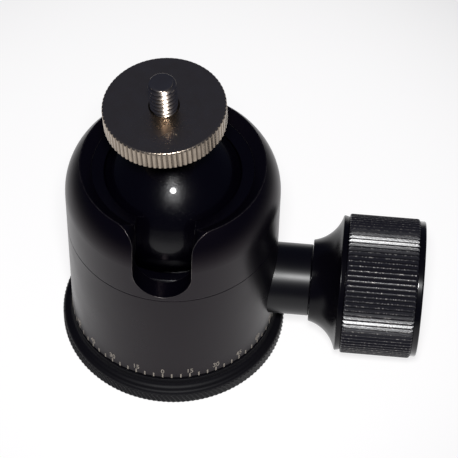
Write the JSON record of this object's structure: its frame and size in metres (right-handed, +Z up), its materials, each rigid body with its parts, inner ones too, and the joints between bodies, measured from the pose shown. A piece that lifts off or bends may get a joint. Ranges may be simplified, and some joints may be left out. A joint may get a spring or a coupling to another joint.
{
  "type": "tripod ball head",
  "caption": "Ball head for a camera tripod: drop-notch housing on a panning base, side clamping knob, and a knurled camera platform with a threaded stud.",
  "frame": {"origin": "centre of the tripod thread's mouth, in the plane of the base's bottom face", "axes": "+Z up along the pan axis; the drop notch and the scale's zero face -Y; the main knob's axis points to +X; the pan lock knob is at +Y"},
  "size_m": [0.0874, 0.0644, 0.0871],
  "materials": {
    "black_anodised": "black anodised, fine turned finish",
    "satin_black_anodised": "black anodised over fine bead blasting, satin",
    "gloss_black_anodised": "black anodised, semi-gloss",
    "worn_black_anodised": "black anodised knurl, ridges polished by wear",
    "polished_ball": "hard black anodised over polish, glossy",
    "nickel_plate": "turned steel, nickel-plated, bright and warm",
    "steel": "machined",
    "black_steel": "blackened",
    "black_acetal": "machined",
    "rubber": "moulded",
    "brass": "machined"
  },
  "bodies": {
    "base": {"pan_base": "black_anodised", "tripod_thread_insert": "steel", "pan_glide_washer": "black_acetal", "pan_snap_ring": "steel"},
    "housing": {"lower_housing": "satin_black_anodised", "upper_housing": "gloss_black_anodised", "housing_lock_screws": "black_steel", "upper_seat_ring": "black_acetal", "collar_ring": "black_anodised", "wedge_tray": "steel", "guide_pins": "steel", "preload_springs": "steel", "spindle_sleeve": "black_anodised"},
    "wedge": {"clamp_wedge": "steel"},
    "cup": {"pressure_cup": "black_anodised", "cup_o_ring": "rubber"},
    "main_knob": {"main_spindle": "steel", "spindle_circlip": "steel", "spindle_washer": "brass", "knob_hub": "black_anodised", "knob_grip": "worn_black_anodised", "knob_end_cap": "black_anodised", "knob_screw": "black_steel"},
    "brake_shoe": {"pan_brake_shoe": "brass"},
    "pan_lock_knob": {"pan_lock_screw": "steel", "pan_knob": "worn_black_anodised"},
    "liner": {"seat_liner": "black_acetal"},
    "ball": {"ball": "polished_ball"},
    "stem": {"ball_stem": "polished_ball", "camera_stud": "nickel_plate", "stud_grub_screw": "black_steel"},
    "platform": {"camera_platform": "nickel_plate"}
  },
  "joints": [
    {"name": "pan_rotation", "type": "hinge", "parent": "base", "child": "housing", "pos_m": [0, 0, 0], "axis": [0, 0, 1], "continuous": true},
    {"name": "main_knob_turn", "type": "hinge", "parent": "housing", "child": "main_knob", "pos_m": [0.04, 0, 0.0177], "axis": [1, 0, 0], "range_deg": [0, 362]},
    {"name": "wedge_slide", "type": "slide", "parent": "housing", "child": "wedge", "axis": [1, 0, 0], "range_m": [-0.001, 0]},
    {"name": "cup_lift", "type": "slide", "parent": "housing", "child": "cup", "axis": [0, 0, 1], "range_m": [-0.00018, 0], "deforming": ["preload_springs"]},
    {"name": "pan_lock_turn", "type": "hinge", "parent": "brake_shoe", "child": "pan_lock_knob", "pos_m": [0, 0.03, 0.0102], "axis": [0, 1, 0], "range_deg": [0, 181.6]},
    {"name": "brake_shoe_slide", "type": "slide", "parent": "housing", "child": "brake_shoe", "axis": [0, 1, 0], "range_m": [0, 0.00035]},
    {"name": "ball_side_tilt", "type": "hinge", "parent": "housing", "child": "liner", "pos_m": [0, 0, 0.0463], "axis": [0, 1, 0], "range_deg": [-22, 28]},
    {"name": "ball_drop_tilt", "type": "hinge", "parent": "liner", "child": "ball", "pos_m": [0, 0, 0.0463], "axis": [0.9986, 0, 0.0523], "range_deg": [-27.5, 87.5]},
    {"name": "ball_spin", "type": "hinge", "parent": "ball", "child": "stem", "pos_m": [0, 0, 0.0463], "axis": [-0.0523, -0.0436, 0.9977], "continuous": true},
    {"name": "platform_turn", "type": "hinge", "parent": "stem", "child": "platform", "pos_m": [-0.00172, -0.00144, 0.07917], "axis": [-0.0523, -0.0436, 0.9977], "continuous": true}
  ],
  "couplings": [
    {"joint": "main_knob_turn", "follows": "wedge_slide", "rad_per_m": -6283.2},
    {"joint": "cup_lift", "follows": "wedge_slide", "ratio": 0.17633},
    {"joint": "pan_lock_turn", "follows": "brake_shoe_slide", "rad_per_m": 8976}
  ]
}
